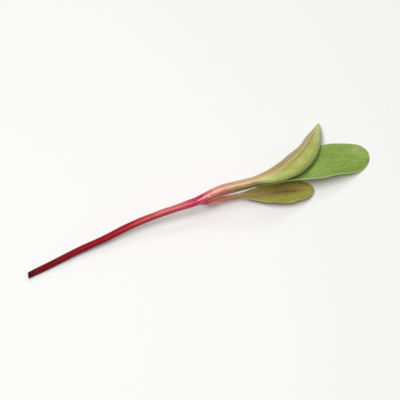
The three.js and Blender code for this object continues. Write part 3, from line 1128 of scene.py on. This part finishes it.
def stem_material(stem):
    material, nodes = new_material("beet_stem_skin")
    place, reach = nodes.reading("place", "Vector"), nodes.reading("reach")
    broad = nodes.mask("Lengthwise Streaks", place, Fineness=1.6, Length=9.0)
    fine = nodes.mask("Lengthwise Streaks", place, Fineness=6.0, Length=2.6)
    on_stem = nodes.eased(reach, 2.6, -1.0)
    colour = plant_flush(nodes, stem, reach)
    colour = nodes.mixed(nodes.times(broad, on_stem, 0.45), colour, (0.6, 0.42, 0.42), "MULTIPLY")
    colour = nodes.mixed(nodes.times(fine, on_stem, 0.1), colour, (0.6, 0.05, 0.09), "SCREEN")

    # Below the crown the upper side is pale pink: a painted highlight
    height = nodes.put("SeparateXYZ", {"Vector": place}).outputs["Z"]
    pale = nodes.times(
        nodes.eased(height, 0.42, 0.72), nodes.eased(reach, -15, -6.5),
        nodes.eased(reach, -0.6, -4.6), nodes.eased(fine, 0, 1, 0.35, 0.8))
    colour = nodes.mixed(pale, colour, linear(PAINTED_HIGHLIGHT_PINK))
    # The lower side all along the stem is a deeper red: painted shade
    deep = nodes.times(nodes.eased(height, 0.05, -0.5), on_stem, 0.75)
    colour = nodes.mixed(deep, colour, (0.5, 0.3, 0.35), "MULTIPLY")
    dots = nodes.times(nodes.mask("Specks", place, Spacing=0.55, Share=0.14), on_stem, 0.12)
    colour = nodes.mixed(dots, colour, (0.75, 0.12, 0.14))

    # The cut: a dark dried rim, paler flesh, a dark ring and a pale core
    cut = nodes.reading("cut")
    flesh = linear(CUT_RIM)
    for start, full, code in CUT_FLESH:
        flesh = nodes.mixed(nodes.eased(cut, start, full), flesh, linear(code))
    colour = nodes.mixed(nodes.eased(cut, 0.0, 0.05), colour, flesh)

    # Duller towards the cut end, and dull on the cut
    cells = nodes.group("Skin Cells", {"Vector": place, "Cell Size": 0.09, "Stretch": 3.2})
    shine = nodes.eased(reach, -20, -6)
    roughness = nodes.plus(
        nodes.eased(broad, 0, 1, 0.44, 0.54), nodes.times(shine, -0.16),
        nodes.times(cells["Glint"], -0.06), nodes.times(cut, 0.25))
    relief = nodes.plus(nodes.times(fine, 0.6), nodes.times(cells["Height"], 0.35))
    finish_skin(nodes, colour, roughness, relief, 0.014 * MM, {
        "Subsurface Weight": 0.25, "Subsurface Radius": (1.0, 0.15, 0.12),
        "Subsurface Scale": 0.4 * MM, "Coat Roughness": 0.18, "Specular IOR Level": 0.04,
        "Coat Weight": nodes.plus(0.08, nodes.times(shine, 0.9)),
    })
    return material


# Pale blotches and specks of the leaves
BLOTCH = "d6d69a"
SPECK = (0.75, 0.78, 0.45)


def leaf_green(nodes, leaf, looks, place, across, under):
    """The green of a leaf's two sides with its blotches and flush, and the masks that its
    veins, stalk and finish go on with."""
    large = nodes.mask("Soft Patches", place, Size=3.4, Detail=3.0)
    small = nodes.mask("Soft Patches", place, Size=0.7, Detail=4.0)
    lines = nodes.mask("Lengthwise Streaks", place, Fineness=1.7, Length=7.0)
    fine = nodes.mask("Lengthwise Streaks", place, Fineness=3.2, Length=2.4)
    cloudy = nodes.times(nodes.plus(large, small), 0.5)
    face = nodes.mixed(cloudy, leaf.face_colour, leaf.face_shade)
    face = nodes.mixed(nodes.times(lines, 0.3), face, leaf.face_shade)
    below = nodes.mixed(cloudy, leaf.under_colour, leaf.under_shade)
    below = nodes.mixed(nodes.times(lines, 0.4), below, leaf.under_shade)
    green = nodes.mixed(under, face, below)
    blotches = nodes.maths("POWER", nodes.times(nodes.plus(small, fine), 0.5), 2.0)
    green = nodes.mixed(nodes.times(blotches, looks["blotches"]), green, linear(BLOTCH))

    # Flush: over one half where the leaf has it, and near the midrib. The other half is
    # deeper green towards its rim: painted shade where the rim curls down.
    half_flush = nodes.eased(nodes.times(across, looks["flush_side"]), -0.02, 0.3)
    by_rib = nodes.eased(nodes.size_of(across), 0.5, 0.0)
    flush = nodes.maths("MAXIMUM", nodes.times(half_flush, looks["half_flush"]),
                        nodes.times(by_rib, looks["rib_flush"]))
    flush = nodes.times(flush, nodes.eased(cloudy, 0, 1, 0.72, 1.0))
    green = nodes.mixed(flush, green, leaf.blush_colour)
    toward_shaded_rim = nodes.eased(nodes.times(across, -looks["flush_side"]), 0.45, 1.0)
    green = nodes.mixed(nodes.times(toward_shaded_rim, looks["rim_painted_shade"]), green, leaf.face_shade)
    return green, cloudy, lines, fine


def leaf_stalk(nodes, stem, leaf, looks, reach, across, under, lines, fine):
    """The colour of a leaf's stalk: the plant's own flush, pink along its edges above the
    joint and olive towards the blade, with lengthwise streaks."""
    edges = nodes.eased(nodes.size_of(across), 0.35, 0.95)
    pink = nodes.maths("MAXIMUM", edges, nodes.times(under, looks["under_pink"]))
    pink = nodes.times(pink, nodes.eased(lines, 0, 1, 0.45, 1.0))
    olive = nodes.times(pink, nodes.eased(reach, 5.0, 10.0, 0.0, 0.75))
    pink = nodes.times(pink, nodes.eased(reach, 3.2, 5.5, 0.0, 0.74))
    stalk = nodes.mixed(pink, plant_flush(nodes, stem, reach), stem.flush_colour)
    stalk = nodes.mixed(olive, stalk, leaf.face_shade)
    streaks = nodes.maths("MAXIMUM", lines, nodes.eased(fine, 0.35, 0.9))
    streaks = nodes.times(streaks, nodes.eased(reach, 3.2, 6.0, 0.0, 0.3))
    return nodes.mixed(streaks, stalk, (0.55, 0.4, 0.3), "MULTIPLY")


def leaf_material(name, stem, leaf, looks):
    """A leaf's skin. looks gives what sets one leaf's skin apart from another's."""
    material, nodes = new_material(name)
    place = nodes.reading("place", "Vector")
    reach, blade, across, under, rim, midrib, veins = (nodes.reading(key) for key in (
        "reach", "blade", "across", "under", "rim", "midrib", "veins"))
    green, cloudy, lines, fine = leaf_green(nodes, leaf, looks, place, across, under)

    # Veins, the thin midrib and a few specks
    net = nodes.group("Vein Net", {"Vector": place, "Mesh Size": looks["mesh"]})["Mask"]
    tint = nodes.maths("MAXIMUM", nodes.times(veins, looks["vein_tint"]),
                       nodes.times(net, looks["net_tint"]))
    green = nodes.mixed(tint, green, leaf.vein_colour)
    thin_rib = nodes.maths("POWER", midrib, looks["rib_sharpness"])
    green = nodes.mixed(nodes.times(thin_rib, looks["rib_tint"]), green, leaf.vein_colour)
    speckle = nodes.mask("Specks", place, Spacing=0.42, Share=0.1)
    green = nodes.mixed(nodes.times(speckle, 0.25), green, SPECK)

    # The stalk's cream runs on into the midrib, and the rim is pale: partly the margin's own
    # colour and partly a painted highlight along the edge
    stalk = leaf_stalk(nodes, stem, leaf, looks, reach, across, under, lines, fine)
    ends = nodes.plus(0.16, nodes.times(midrib, looks["stalk_run"]))
    into_blade = nodes.eased(blade, -0.02, ends)
    colour = nodes.mixed(into_blade, stalk, green)
    pale_side = nodes.eased(nodes.times(across, looks["rim_side"]), -1.0, -0.2)
    pale_rim_and_highlight = nodes.times(rim, into_blade, looks["pale_rim_and_highlight"], pale_side)
    colour = nodes.mixed(pale_rim_and_highlight, colour, leaf.rim_colour)

    cells = nodes.group("Skin Cells", {"Vector": place, "Cell Size": 0.075, "Stretch": 1.3})
    roughness = nodes.plus(nodes.eased(cloudy, 0, 1, looks["gloss"], looks["gloss"] + 0.12),
                           nodes.times(cells["Glint"], -0.1))
    height = nodes.plus(nodes.times(cells["Height"], 0.45),
                        nodes.times(net, looks["net_relief"]), nodes.times(lines, 0.5))
    finish_skin(nodes, colour, roughness, height, 0.02 * MM, {
        "Subsurface Weight": 0.3, "Subsurface Radius": (0.7, 1.0, 0.2),
        "Subsurface Scale": 0.35 * MM, "Coat Weight": nodes.eased(into_blade, 0, 1, 0.6, 0.14),
        "Coat Roughness": 0.2, "Specular IOR Level": 0.3,
    })
    return material


def floor_material(stage):
    material, nodes = new_material("plain_floor")
    where = nodes.put("TexCoord").outputs["Object"]
    grain = nodes.put("TexNoise", {"Vector": where, "Scale": 900.0, "Detail": 3.0}).outputs[0]
    tone = nodes.mixed(nodes.eased(grain, 0.3, 0.7, 0.0, 0.02), stage.floor_colour,
                       (0.8, 0.8, 0.8))
    finish_skin(nodes, tone, nodes.eased(grain, 0.3, 0.7, 0.62, 0.7), grain, 0.01 * MM,
                {"Specular IOR Level": 0.2})
    return material


# What sets the leaves' skins apart, each with its values for the upper, the lower and the
# true leaf and for the bud
LEAVES = ("upper_leaf", "lower_leaf", "true_leaf", "bud")
LOOK_ROWS = {
    # The net of fine veins: its size in millimetres, its strength and its relief
    "mesh": (0.8, 0.8, 0.65, 0.4),
    "net_tint": (0.1, 0.1, 0.15, 0.12),
    "net_relief": (-0.25, -0.3, -0.45, -0.35),
    # The side veins, and how strong and how thin the midrib is
    "vein_tint": (0.2, 0.22, 0.4, 0.4),
    "rib_tint": (0.7, 0.4, 0.8, 0.6),
    "rib_sharpness": (6.0, 4.0, 2.6, 1.6),
    # The pale blotches
    "blotches": (0.85, 0.36, 0.22, 0.1),
    # Which half is flushed, and how strong the flush is there and near the midrib
    "flush_side": (-1.0, 1.0, 1.0, 1.0),
    "half_flush": (0.95, 0.0, 0.3, 0.2),
    "rib_flush": (0.2, 0.0, 0.3, 0.3),
    # How much deeper the green gets towards the rim of the other half, as painted shade
    "rim_painted_shade": (0.7, 0.35, 0.2, 0.2),
    # Which rim is pale, with 0 for both, and how pale: partly the margin's own colour, partly a
    # painted edge highlight
    "rim_side": (-1.0, 0.0, 0.0, 0.0),
    "pale_rim_and_highlight": (0.8, 0.8, 0.6, 0.6),
    # The stalk: how pink it is underneath, and how far its cream runs up the midrib
    "under_pink": (0.2, 0.6, 0.8, 0.5),
    "stalk_run": (0.5, 0.3, 0.5, 0.5),
    # The least roughness
    "gloss": (0.36, 0.38, 0.4, 0.4),
}
LOOKS = {leaf: {look: row[place] for look, row in LOOK_ROWS.items()}
         for place, leaf in enumerate(LEAVES)}


# Stage

# The point that the camera looks at, in millimetres from under the crown
VIEW_MIDDLE = (0.57, 0.09, 3.6)

# Each lamp's azimuth and height in degrees, and its distance from that point in metres
KEY_PLACE = (-70, 77, 0.45)
RIM_PLACE = (150, 48, 0.5)
RIM_POWER_SHARE = 0.2


def build_floor(stage):
    half = stage.floor_size / 2
    corners = np.array([[-half, -half, 0], [half, -half, 0], [half, half, 0], [-half, half, 0]])
    mesh = mesh_of("floor", corners, np.array([[0, 1, 2, 3]]))
    mesh.materials.append(floor_material(stage))
    floor = bpy.data.objects.new("floor", mesh)
    bpy.context.scene.collection.objects.link(floor)


def look_direction(azimuth, elevation):
    """The unit vector from the plant towards an eye or a lamp at these angles."""
    return np.array([math.sin(azimuth) * math.cos(elevation),
                     -math.cos(azimuth) * math.cos(elevation), math.sin(elevation)])


def aimed(thing, place, target):
    """Puts a camera or lamp at a place, turned to a target, both in metres."""
    from_there = Vector(tuple(target - place))
    thing.location = tuple(place)
    thing.rotation_mode = "QUATERNION"
    thing.rotation_quaternion = from_there.to_track_quat("-Z", "Y")
    bpy.context.scene.collection.objects.link(thing)


def build_lamp(name, target, place, size, power):
    light = bpy.data.lights.new(name, "AREA")
    light.shape = "RECTANGLE"
    light.size, light.size_y = size
    light.energy = power
    azimuth, elevation, distance = place
    direction = look_direction(math.radians(azimuth), math.radians(elevation))
    aimed(bpy.data.objects.new(name, light), target + direction * distance, target)


def build_camera(stage, target):
    camera = bpy.data.objects.new("camera", bpy.data.cameras.new("camera"))
    camera.data.lens = camera.data.sensor_width * stage.distance / stage.field
    camera.data.clip_start, camera.data.clip_end = 0.01, 20.0
    direction = look_direction(stage.azimuth, stage.elevation)
    aimed(camera, target + direction * stage.distance, target)
    bpy.context.scene.camera = camera


def light_room(stage):
    world = bpy.data.worlds.new("plain_room")
    world.use_nodes = True
    nodes = Nodes(world.node_tree)
    nodes.tree.nodes.clear()
    glow = nodes.put("Background", {"Color": (1.0, 1.0, 1.0), "Strength": stage.sky})
    nodes.put("OutputWorld", {0: glow.outputs[0]})
    bpy.context.scene.world = world


# Operators

def grow_leaf(context, part, form, name):
    """Builds one leaf with its skin. part is the name of its settings and looks."""
    settings = context.scene.microgreen
    leaf = getattr(settings, part)
    skin = leaf_material(part + "_skin", settings.stem, leaf, LOOKS[part])
    build_leaf(name, form, leaf, skin)
    return {"FINISHED"}


class MICROGREEN_OT_stem(bpy.types.Operator):
    """Build the red stem with its crown and its cut end"""
    bl_idname = "microgreen.stem"
    bl_label = "Stem and Crown"

    def execute(self, context):
        settings = context.scene.microgreen
        build_stem(settings, stem_material(settings.stem))
        return {"FINISHED"}


class MICROGREEN_OT_upper_seed_leaf(bpy.types.Operator):
    """Build the upper seed leaf, folded and showing its underside"""
    bl_idname = "microgreen.upper_seed_leaf"
    bl_label = "Upper Seed Leaf"

    def execute(self, context):
        return grow_leaf(context, "upper_leaf", UPPER_SEED_LEAF, "upper_cotyledon_leaf")


class MICROGREEN_OT_lower_seed_leaf(bpy.types.Operator):
    """Build the lower seed leaf, whose tip lies on the floor and which shows its green face"""
    bl_idname = "microgreen.lower_seed_leaf"
    bl_label = "Lower Seed Leaf"

    def execute(self, context):
        return grow_leaf(context, "lower_leaf", LOWER_SEED_LEAF, "lower_cotyledon_leaf")


class MICROGREEN_OT_true_leaf(bpy.types.Operator):
    """Build the first true leaf, beneath the seed leaves"""
    bl_idname = "microgreen.true_leaf"
    bl_label = "First True Leaf"

    def execute(self, context):
        return grow_leaf(context, "true_leaf", TRUE_LEAF, "first_true_leaf_blade")


class MICROGREEN_OT_bud(bpy.types.Operator):
    """Build the folded bud of the next leaf"""
    bl_idname = "microgreen.bud"
    bl_label = "Leaf Bud"

    def execute(self, context):
        return grow_leaf(context, "bud", LEAF_BUD, "leaf_bud_folded")


class MICROGREEN_OT_stage(bpy.types.Operator):
    """Lay the pale floor, light it softly and set up the camera"""
    bl_idname = "microgreen.stage"
    bl_label = "Stage"

    def execute(self, context):
        stage = context.scene.microgreen.stage
        context.scene.view_settings.view_transform = "Standard"
        middle = (np.array(VIEW_MIDDLE) + CROWN_PLACE) * MM
        build_floor(stage)
        light_room(stage)
        build_lamp("key_light", middle, KEY_PLACE, (stage.key_width, stage.key_length),
                   stage.key_power)
        build_lamp("rim_light", middle, RIM_PLACE, (stage.key_length, stage.key_length),
                   stage.key_power * RIM_POWER_SHARE)
        build_camera(stage, middle)
        return {"FINISHED"}


# The operators in the order in which they run
BUILD_STEPS = ("stem", "upper_seed_leaf", "lower_seed_leaf", "true_leaf", "bud", "stage")


class MICROGREEN_PT_builder(bpy.types.Panel):
    """Lists the seedling's settings and the steps that build it"""
    bl_label = "Beet Microgreen"
    bl_idname = "MICROGREEN_PT_builder"
    bl_space_type = "VIEW_3D"
    bl_region_type = "UI"
    bl_category = "Microgreen"

    def draw(self, context):
        for step in BUILD_STEPS:
            self.layout.operator("microgreen." + step)
        for part in ("stem", *LEAVES, "stage"):
            box = self.layout.box()
            box.label(text=part.replace("_", " ").capitalize())
            group = getattr(context.scene.microgreen, part)
            for key in group.bl_rna.properties.keys():
                if key not in {"rna_type", "name"}:
                    box.prop(group, key)


CLASSES = (
    StemSettings, UpperSeedLeafSettings, LowerSeedLeafSettings, TrueLeafSettings, BudSettings,
    StageSettings, MicrogreenSettings, MICROGREEN_OT_stem, MICROGREEN_OT_upper_seed_leaf,
    MICROGREEN_OT_lower_seed_leaf, MICROGREEN_OT_true_leaf, MICROGREEN_OT_bud,
    MICROGREEN_OT_stage, MICROGREEN_PT_builder,
)


def register():
    for each in CLASSES:
        bpy.utils.register_class(each)
    bpy.types.Scene.microgreen = PointerProperty(type=MicrogreenSettings)


def unregister():
    del bpy.types.Scene.microgreen
    for each in reversed(CLASSES):
        bpy.utils.unregister_class(each)


def main():
    register()
    for step in BUILD_STEPS:
        getattr(bpy.ops.microgreen, step)()


if __name__ == "__main__":
    main()
